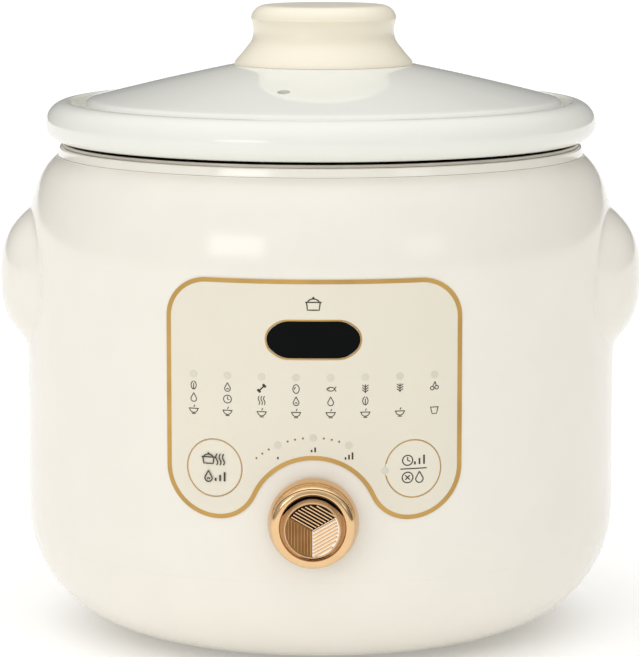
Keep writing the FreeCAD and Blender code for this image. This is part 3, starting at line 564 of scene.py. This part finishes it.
# ---------------------------------------------------------------- control panel
ARCH = 27.7
THROAT = 18.43
LOBE = 23.1
LOBE_FOOT = 75.9
LOBE_ACROSS = 42.2
CORNER_ACROSS = 47.2
PANEL_TOP = 183.7
PANEL_CORNER = 18.1
WINDOW_LEVEL = 157.0
WINDOW_HALF_WIDE = 20.5
WINDOW_HALF_HIGH = 8.15
WINDOW_SLANT = 6.4      # its corners are cut off by this much across
WINDOW_DROP = 4.9       # and by this much up and down
WINDOW_FILLET = 3.6
WINDOW_GAP = 0.2        # round the window, in the film
WINDOW_SINK = 0.15      # the window's face lies this far behind the film's
BORDER_INSET = 1.1
BORDER_WIDTH = 2.0
WINDOW_BORDER_WIDTH = 0.7


def panel_path(inset):
    """The panel's outline, drawn in by an inset: two lobes below, with an arch over the selector."""
    throat_level = LOBE_FOOT + THROAT
    lobe_level = LOBE_FOOT + LOBE
    corner_level = PANEL_TOP - PANEL_CORNER
    corner = PANEL_CORNER - inset
    meet = math.degrees(math.atan2(throat_level - DIAL_LEVEL, LOBE_ACROSS))
    path = bend((0, DIAL_LEVEL), ARCH + inset, 180 - meet, meet, 4)
    path += bend((LOBE_ACROSS, throat_level), THROAT - inset, 180 + meet, 270, 6)[1:]
    path += bend((LOBE_ACROSS, lobe_level), LOBE - inset, 270, 360, 5)[1:]
    path += bend((CORNER_ACROSS, corner_level), corner, 0, 90, 5)
    path += bend((-CORNER_ACROSS, corner_level), corner, 90, 180, 5)
    path += bend((-LOBE_ACROSS, lobe_level), LOBE - inset, 180, 270, 5)
    path += bend((-LOBE_ACROSS, throat_level), THROAT - inset, 270, 360 - meet, 6)[1:-1]
    return path


def window_outline(grow):
    """The window's outline, grown by a margin: a long box with slanted, well rounded corners."""
    wide = WINDOW_HALF_WIDE + grow
    high = WINDOW_HALF_HIGH + grow
    corners = [(wide - WINDOW_SLANT, -high), (wide, WINDOW_DROP - high), (wide, high - WINDOW_DROP),
               (wide - WINDOW_SLANT, high)]
    corners += [(-x, z) for x, z in reversed(corners)]
    path = []
    for index, corner in enumerate(corners):
        here = Vector(corner)
        before = Vector(corners[index - 1]) - here
        after = Vector(corners[(index + 1) % len(corners)]) - here
        before *= min(WINDOW_FILLET / before.length, 0.49)
        after *= min(WINDOW_FILLET / after.length, 0.49)
        for share in (0.0, 0.2, 0.4, 0.6, 0.8, 1.0):
            spot = here + before * (1 - share) ** 2 + after * share ** 2
            path.append((spot.x, WINDOW_LEVEL + spot.y))
    return path


def key_outline(radius, side):
    """A circle round a key's middle, as it lies in the flat panel drawing."""
    path = []
    for x, z in bend((0, KEY_LEVEL), radius, 0, 360, 4)[:-1]:
        path.append((BARREL * math.sin(side * KEY_ANGLE + math.asin(x / BARREL)), z))
    return path


panel_holes = [window_outline(WINDOW_GAP), key_outline(KEY_HOLE, -1), key_outline(KEY_HOLE, 1)]
panel_loops = [divided(panel_path(0.0), True)] + panel_holes
plate("panel", panel_loops, FILM_BACK, FILM_FACE, "base", PANEL, "beige_film", replaces=["panel_film"])
plate("window", [window_outline(0.0)], FILM_BACK, FILM_FACE - WINDOW_SINK, "base", LENS, "smoked_lens",
      replaces=["display_lens"])

border = Print()
border.ribbon(panel_path(BORDER_INSET), BORDER_WIDTH, closed=True)
border.ribbon(window_outline(0.45), WINDOW_BORDER_WIDTH, closed=True)
border.build("gold_border", "base", GOLD_PRINT, "rose_gold")

KEY_DEPTH = 3.0
KEY_RING = KEY_RADIUS - 0.25
KEY_RING_WIDTH = 0.42
for body, side in KEY_SIDES:
    plate(f"{body}_cap", [key_outline(KEY_RADIUS, side)], BARREL - KEY_DEPTH, FILM_FACE, body, KEY,
          "key_beige", replaces=[f"{body}_key"])
    ring = Print()
    rim = key_outline(KEY_RING, side)
    if side < 0:
        ring.ribbon(rim, KEY_RING_WIDTH, closed=True)
    else:
        # The timer's ring is open at its left, where its lamp sits.
        half = len(rim) // 2
        ring.ribbon(rim[half + 3:] + rim[:half - 2], KEY_RING_WIDTH)
    ring.build(f"{body}_ring", body, GOLD_PRINT, "rose_gold")

LAMP_PITCH = 15.15
LAMP_COUNT = 8
LAMP_LEVEL = 140.3
LAMP_ROW = [((index - (LAMP_COUNT - 1) / 2) * LAMP_PITCH, LAMP_LEVEL) for index in range(LAMP_COUNT)]
LAMP_RADIUS = 1.75
TIMER_LAMP = (31.4, 98.3)
TIMER_LAMP_RADIUS = 1.7
SCALE_RADIUS = 37.8
HEAT_STOPS = (-24.4, 0, 24.4)
DOT_RADIUS = 0.46


def on_scale(angle):
    """A point on the heat scale, at an angle in degrees from straight up, clockwise."""
    turn = math.radians(angle)
    return (SCALE_RADIUS * math.sin(turn), DIAL_LEVEL + SCALE_RADIUS * math.cos(turn))


spots = Print(rise=0.04)
for centre in LAMP_ROW + [on_scale(angle) for angle in HEAT_STOPS]:
    spots.disc(centre, LAMP_RADIUS)
spots.disc(TIMER_LAMP, TIMER_LAMP_RADIUS)
spots.build("lamp_spots", "base", SPOT, "lamp_white")

scale_dots = Print()
for angle in (-41.6, -36.5, -31.3, -17.4, -12.3, -7.0, 7.0, 12.3, 17.4):
    scale_dots.disc(on_scale(angle), DOT_RADIUS)
scale_dots.build("heat_scale", "base", PRINT_AND_REFLECTION_GOLD, "rose_gold")


# Pictograms. Each is drawn about a centre, to a half height, in strokes of one width.
def bowl(ink, x, z, size, width):
    ink.arc((x, z + size * 0.2), size * 0.95, 180, 360, width)
    ink.ribbon([(x - size * 1.15, z + size * 0.2), (x + size * 1.15, z + size * 0.2)], width)
    ink.ribbon([(x - size * 0.45, z - size), (x + size * 0.45, z - size)], width)
    ink.ribbon([(x, z + size * 0.5), (x + size * 0.25, z + size)], width)


def drop(ink, x, z, size, width):
    ink.ribbon(bend((x, z - size * 0.35), size * 0.65, 140, 400, 20), width)
    ink.ribbon([(x - size * 0.5, z + size * 0.07), (x, z + size)], width)
    ink.ribbon([(x + size * 0.5, z + size * 0.07), (x, z + size)], width)


def flame(ink, x, z, size, width):
    drop(ink, x, z, size, width)
    ink.arc((x, z - size * 0.55), size * 0.25, 0, 180, width)


def leaf(ink, x, z, size, width):
    ink.arc((x - size * 0.55, z), size * 1.15, -55, 55, width)
    ink.arc((x + size * 0.55, z), size * 1.15, 125, 235, width)
    ink.ribbon([(x, z - size), (x, z + size * 0.5)], width)


def clock(ink, x, z, size, width):
    ink.ring((x, z), size * 0.9, width)
    ink.ribbon([(x, z + size * 0.6), (x, z), (x + size * 0.45, z - size * 0.2)], width)


def bone(ink, x, z, size, width):
    ink.ribbon([(x - size * 0.5, z - size * 0.5), (x + size * 0.5, z + size * 0.5)], width * 1.6)
    for side in (-1, 1):
        ink.disc((x + side * size * 0.75, z + side * size * 0.45), size * 0.3)
        ink.disc((x + side * size * 0.45, z + side * size * 0.75), size * 0.3)


def egg(ink, x, z, size, width):
    turns = [math.radians(angle) for angle in range(0, 360, 20)]
    shell_line = [(x + size * 0.72 * math.cos(turn), z + size * math.sin(turn)) for turn in turns]
    ink.ribbon(shell_line, width, closed=True)
    ink.arc((x, z), size * 0.4, 100, 200, width)


def grain(ink, x, z, size, width):
    ink.ribbon([(x, z - size), (x, z + size)], width)
    for rise in (-0.45, 0.1, 0.65):
        root = (x, z + size * (rise - 0.3))
        for side in (-1, 1):
            ink.ribbon([root, (x + side * size * 0.7, z + size * (rise + 0.2))], width)


def fish(ink, x, z, size, width):
    ink.arc((x, z - size * 0.75), size * 1.2, 40, 140, width)
    ink.arc((x, z + size * 0.75), size * 1.2, 220, 320, width)
    ink.ribbon([(x + size * 0.85, z), (x + size * 1.2, z + size * 0.55)], width)
    ink.ribbon([(x + size * 0.85, z), (x + size * 1.2, z - size * 0.55)], width)
    ink.disc((x - size * 0.4, z + size * 0.08), width * 0.7)


def steam(ink, x, z, size, width):
    for across in (-0.6, 0.0, 0.6):
        wave = [(across + 0.18 * math.sin(step * 1.1), step / 3 - 1) for step in range(7)]
        ink.ribbon([(x + size * u, z + size * v) for u, v in wave], width)


def cherries(ink, x, z, size, width):
    ink.ring((x - size * 0.5, z - size * 0.5), size * 0.4, width)
    ink.ring((x + size * 0.5, z - size * 0.35), size * 0.4, width)
    ink.ribbon([(x - size * 0.4, z - size * 0.1), (x + size * 0.15, z + size)], width)
    ink.ribbon([(x + size * 0.4, z + size * 0.05), (x + size * 0.15, z + size)], width)


def cup(ink, x, z, size, width):
    ink.ribbon([(x - size * 0.85, z + size * 0.7), (x - size * 0.5, z - size * 0.8),
                (x + size * 0.5, z - size * 0.8), (x + size * 0.85, z + size * 0.7)], width)
    ink.ribbon([(x - size * 0.95, z + size * 0.7), (x + size * 0.95, z + size * 0.7)], width)


def pot_sign(ink, x, z, size, width):
    ink.ribbon([(x - size, z + size * 0.35), (x - size * 0.85, z - size * 0.8),
                (x + size * 0.85, z - size * 0.8), (x + size, z + size * 0.35)], width)
    ink.ribbon([(x - size * 1.2, z + size * 0.35), (x + size * 1.2, z + size * 0.35)], width)
    ink.arc((x, z - size * 0.25), size * 1.1, 40, 140, width)
    ink.disc((x, z + size), size * 0.16)


def cross(ink, x, z, size, width):
    ink.ring((x, z), size * 0.95, width)
    for side in (-1, 1):
        ink.ribbon([(x - side * size * 0.4, z - size * 0.4), (x + side * size * 0.4, z + size * 0.4)], width)


def bars(ink, x, z, size, width, count=3):
    foot = z - size * 0.8
    for index in range(count):
        across = x + (index - (count - 1) / 2) * size * 0.8
        ink.ribbon([(across, foot), (across, foot + size * 0.55 * (index + 1))], width * 1.5)


MENU = [
    (leaf, drop, bowl), (flame, clock, bowl), (bone, steam, bowl), (egg, flame, bowl),
    (fish, drop, bowl), (grain, leaf, bowl), (grain, None, bowl), (cherries, None, cup),
]
MENU_LEVELS = (135.2, 129.8, 124.4)
MENU_SIZE = 1.95
MENU_STROKE = 0.38
BARS_BELOW_STOP = 4.85
TITLE_LEVEL = 172.6
marks = Print()
for (x, _), column in zip(LAMP_ROW, MENU):
    for sign, z in zip(column, MENU_LEVELS):
        if sign:
            sign(marks, x, z, MENU_SIZE, MENU_STROKE)
for count, angle in enumerate(HEAT_STOPS, start=1):
    x, z = on_scale(angle)
    bars(marks, x, z - BARS_BELOW_STOP, 1.9, 0.5, count)
pot_sign(marks, 0, TITLE_LEVEL, 3.0, 0.55)
marks.build("panel_marks", "base", INK, "smoked_lens")

# Each key carries four signs, two above its middle and two below. The timer's pairs are parted by a line.
KEY_SIGNS = {"keep_warm": (pot_sign, steam, flame, bars), "timer": (clock, bars, cross, drop)}
KEY_SIGN_PLACES = [(across, up) for up in (3.8, -3.9) for across in (-2.6125, 2.6125)]
KEY_SIGN_SIZE = 2.5
KEY_STROKE = 0.5
KEY_LINE_HALF = 5.8
for body, side in KEY_SIDES:
    middle = side * KEY_ACROSS
    sheet = Print()
    for sign, (across, up) in zip(KEY_SIGNS[body], KEY_SIGN_PLACES):
        sign(sheet, middle + across, KEY_LEVEL + up, KEY_SIGN_SIZE, KEY_STROKE)
    if side > 0:
        sheet.ribbon([(middle - KEY_LINE_HALF, KEY_LEVEL), (middle + KEY_LINE_HALF, KEY_LEVEL)], KEY_STROKE)
    sheet.build(f"{body}_signs", body, INK, "smoked_lens")

# ---------------------------------------------------------------- selector
RIDGE_CIRCLE = 11.3
RIDGE_PITCH = 1.40
FACE = 158.9            # the floor of the ridges, as a distance from the body's axis
SKIRT_EDGE = 18.45
SKIRT_FRONT = 148.6
SKIRT_FALL = 4.4        # how fast the skirt falls back from its edge
BEZEL_CENTRE = (15.6, 151.0)
BEZEL_ROUND = 2.9
RECESS_FLOOR = 151.9
GLINT_FRONT = 152.95    # the dark arcs in the recess lie in this plane
SELECTOR_TURNS = 192
skirt = [(17.6, SKIRT_FRONT), (SKIRT_EDGE, SKIRT_FRONT), (19.1, 147.2), (19.9, 144.2)]
skirt += bend((19.8, 142.5), 0.4, 10, -80, 20) + [(19.8, 142.1), (18.8, 142.1), (18.4, 142.3), (17.2, 146.6)]
bezel = [(17.3, 148.5), (18.3, SKIRT_FRONT), (18.4, 149.0), (18.4, 149.4)]
bezel += bend(BEZEL_CENTRE, BEZEL_ROUND, -10, 90, 6)
bezel += [(15.2, 154.0), (14.8, 153.9), (14.5, 153.5), (14.3, 152.6)]
bezel += [(14.3, RECESS_FLOOR), (15.0, RECESS_FLOOR)]
recess = [(14.35, 152.9), (14.3, RECESS_FLOOR), (12.9, RECESS_FLOOR), (12.9, 152.4)]
boss = [(0, FACE - 0.6), (11.6, FACE - 0.6), (11.8, FACE + 0.25)]
boss += bend((12.0, FACE + 0.15), 0.35, 110, 10, 20)
boss += [(12.5, FACE - 1.2), (13.0, 152.2), (12.0, 152.0), (10.2, 156.8), (0, 156.8)]
for name, profile, finish, stood_for in (
        ("selector_skirt", skirt, ROSE, []), ("selector_bezel", bezel, ROSE, []),
        ("selector_recess", recess, RECESS_SHADE_GOLD, []), ("selector_boss", boss, RECESS_SHADE_GOLD, ["knob_cap"])):
    points, faces = lathe(profile, SELECTOR_TURNS)
    piece(name, forward(points), faces, "knob", finish, replaces=stood_for, slot="rose_gold")


def painted_reflection_arc(name, start, end, middle, width, ahead, finish):
    """A painted reflection: a dark line that tapers at both ends, where the polished metal would mirror its
    own edges.

    middle gives its radius from how full it is there, and ahead its distance forward from its radius.
    """
    count = 48
    points = []
    for index in range(count + 1):
        angle = math.radians(start + (end - start) * index / count)
        swell = math.sin(math.pi * index / count)
        half = width * (0.08 + 0.92 * swell ** 0.7) / 2
        centre = middle(swell)
        near, far = centre - half, centre + half
        for radius, lift in ((near, 0.04), (far, 0.04), (far, -0.1), (near, -0.1)):
            points.append((radius * math.cos(angle), radius * math.sin(angle), ahead(radius) + lift))
    faces = [(3, 2, 1, 0), tuple(4 * count + corner for corner in range(4))]
    for here in range(0, 4 * count, 4):
        there = here + 4
        for corner in range(4):
            after = (corner + 1) % 4
            faces.append((here + corner, here + after, there + after, there + corner))
    piece(name, forward(points), faces, "knob", finish, slot="rose_gold")


def bezel_front(radius):
    """How far forward the front of the bezel is at a radius, or that of the skirt further out."""
    if radius > 18.4:
        return SKIRT_FRONT - (radius - SKIRT_EDGE) * SKIRT_FALL
    return BEZEL_CENTRE[1] + math.sqrt(max(BEZEL_ROUND ** 2 - max(radius - BEZEL_CENTRE[0], 0.0) ** 2, 0.0))


def recess_front(radius):
    """The dark arcs in the recess lie in one plane, at every radius."""
    return GLINT_FRONT


# Painted reflections on the selector: a dark crescent at the top of the recess, a thin line below it and a
# line round the bezel.
painted_reflection_arc("selector_shade", 22, 158, lambda swell: 14.25 - 0.95 * swell ** 0.8, 1.75, recess_front, SHADE)
painted_reflection_arc("selector_low_reflection", 245, 305, lambda swell: 13.95, 0.45, recess_front, DARK_REFLECTION_GOLD)
painted_reflection_arc("selector_edge_reflection", 12, 168, lambda swell: 19.4 - 2.1 * swell ** 0.6, 0.32, bezel_front, DARK_REFLECTION_GOLD)


def ridge(offset, start, end, turn):
    """One ridge of the selector's face: a bevelled bar beside a dividing line, turned about the axis."""
    half = RIDGE_PITCH * 0.34
    crown = RIDGE_PITCH * 0.16
    base, top = FACE - 0.05, FACE + 0.5
    points = []
    cosine, sine = math.cos(turn), math.sin(turn)
    for along, lean in ((start, 0.3), (end, -0.3)):
        section = ((-half, base, 0), (-crown, top, lean), (crown, top, lean), (half, base, 0))
        for across, ahead, pull in section:
            u = along + pull
            v = offset + across
            points.append((u * cosine - v * sine, u * sine + v * cosine, ahead))
    faces = [(0, 1, 5, 4), (1, 2, 6, 5), (2, 3, 7, 6), (3, 0, 4, 7), (3, 2, 1, 0), (4, 5, 6, 7)]
    return points, faces


def sector(turn):
    """The floor of one field of ridges: a third of a thin disc."""
    edge = [(0.0, 0.0)] + bend((0, 0), RIDGE_CIRCLE + 0.45, turn - 120, turn, 5)
    points = [(x, z, ahead) for ahead in (FACE - 0.7, FACE) for x, z in edge]
    count = len(edge)
    faces = [tuple(reversed(range(count))), tuple(range(count, 2 * count))]
    for index in range(count):
        after = (index + 1) % count
        faces.append((index, after, count + after, count + index))
    return points, faces


# Three fields of ridges meet in a Y. In each, the ridges run along the field's own dividing line.
RIDGES_AT_MOST = 8
SHORTEST_RIDGE = 1.0
FIELD_SLANT = math.tan(math.radians(60))
# The fields' floors and ridges differ in tone as painted reflections: dark on the top field, near white on
# the right, brown on the left.
for name, turn, floor_finish, ridge_finish in (
        ("top", 150, DARK_REFLECTION_GOLD, ROSE), ("right", 30, LIGHT_REFLECTION_GOLD, ROSE), ("left", 270, PRINT_AND_REFLECTION_GOLD, BROWN_REFLECTION_GOLD)):
    points, faces = sector(turn)
    piece(f"selector_floor_{name}", forward(points), faces, "knob", floor_finish, slot="rose_gold")
    ridge_points = []
    ridge_faces = []
    for index in range(RIDGES_AT_MOST):
        offset = -(index + 0.5) * RIDGE_PITCH
        reach = math.sqrt(RIDGE_CIRCLE ** 2 - offset ** 2)
        inner_end = offset / FIELD_SLANT + 0.3
        if reach - inner_end < SHORTEST_RIDGE:
            continue
        points, faces = ridge(offset, inner_end, reach, math.radians(turn))
        base = len(ridge_points)
        ridge_points += points
        ridge_faces += [tuple(base + corner for corner in face) for face in faces]
    piece(f"selector_ridges_{name}", forward(ridge_points), ridge_faces, "knob", ridge_finish,
          slot="rose_gold")

# ---------------------------------------------------------------- floor, light and camera
FLOOR = material("floor", srgb(249, 249, 248), 0.8, mottle=0.003, patch=3, bump=0.02, specular=0.1, glow=0.17)
FLOOR_HALF = 40
floor_corners = [(x * FLOOR_HALF, y * FLOOR_HALF, 0) for x, y in ((-1, -1), (1, -1), (1, 1), (-1, 1))]
floor_mesh = bpy.data.meshes.new("floor")
floor_mesh.from_pydata(floor_corners, [], [(0, 1, 2, 3)])
floor_mesh.materials.append(FLOOR)
floor = placed("floor", floor_mesh)

world = bpy.data.worlds.new("studio")
bpy.context.scene.world = world
world.use_nodes = True
sky = world.node_tree
sky.nodes["Background"].inputs["Color"].default_value = (1.0, 1.0, 1.0, 1.0)
direction = sky.nodes.new("ShaderNodeTexCoord")


def sky_math(operation, *values):
    """A sky node that works on links and plain numbers."""
    node = sky.nodes.new("ShaderNodeMath")
    node.operation = operation
    for index, value in enumerate(values):
        if isinstance(value, float):
            node.inputs[index].default_value = value
        else:
            sky.links.new(value, node.inputs[index])
    return node.outputs["Value"]


# The sky is a white tent: brightest overhead and to the front left, dim at the back right.
BRIGHT_WAY = (-0.33, -0.82, 0.47)
BRIGHT_GAIN = 0.355
OVERHEAD_GAIN = 1.38
OVERHEAD_POWER = 2.0
SKY_LEAST = 0.20
facing = sky.nodes.new("ShaderNodeVectorMath")
facing.operation = "DOT_PRODUCT"
facing.inputs[1].default_value = BRIGHT_WAY
sky.links.new(direction.outputs["Generated"], facing.inputs[0])
apart = sky.nodes.new("ShaderNodeSeparateXYZ")
sky.links.new(direction.outputs["Generated"], apart.inputs["Vector"])
side_light = sky_math("MULTIPLY_ADD", facing.outputs["Value"], BRIGHT_GAIN, SKY_LEAST)
overhead = sky_math("POWER", sky_math("MAXIMUM", apart.outputs["Z"], 0.0), OVERHEAD_POWER)
tent = sky_math("MAXIMUM", sky_math("MULTIPLY_ADD", overhead, OVERHEAD_GAIN, side_light), SKY_LEAST)
sky.links.new(tent, sky.nodes["Background"].inputs["Strength"])


def turned(way):
    """The rotation that points a light or camera along a direction."""
    return way.to_track_quat("-Z", "Y").to_euler()


def soft_light(name, place, width, height, power):
    """A rectangular lamp, in metres and watts, aimed at the cooker."""
    data = bpy.data.lights.new(name, "AREA")
    data.shape = "RECTANGLE"
    data.size = width
    data.size_y = height
    data.energy = power
    light = placed(name, data)
    light.location = place
    light.rotation_euler = turned(LIGHT_AIM - Vector(place))


LIGHT_AIM = Vector((0, 0, 0.2))
soft_light("key", (-0.79, -1.36, 0.52), 0.58, 0.28, 1.6)
soft_light("fill", (1.03, -1.22, 0.52), 0.40, 0.26, 0.40)

PITCH_DOWN = math.radians(8.27)
AZIMUTH = math.radians(1.3)
DISTANCE = 1.608
camera_data = bpy.data.cameras.new("camera")
camera_data.sensor_width = 36.0
camera_data.lens = 183.6
camera = placed("camera", camera_data)
target = Vector((-0.0005, 0.0, 0.1417))
away = Vector((math.sin(AZIMUTH) * math.cos(PITCH_DOWN), -math.cos(AZIMUTH) * math.cos(PITCH_DOWN),
               math.sin(PITCH_DOWN)))
camera.location = target + away * DISTANCE
camera.rotation_euler = turned(-away)
bpy.context.scene.camera = camera
bpy.context.scene.view_settings.view_transform = "Standard"
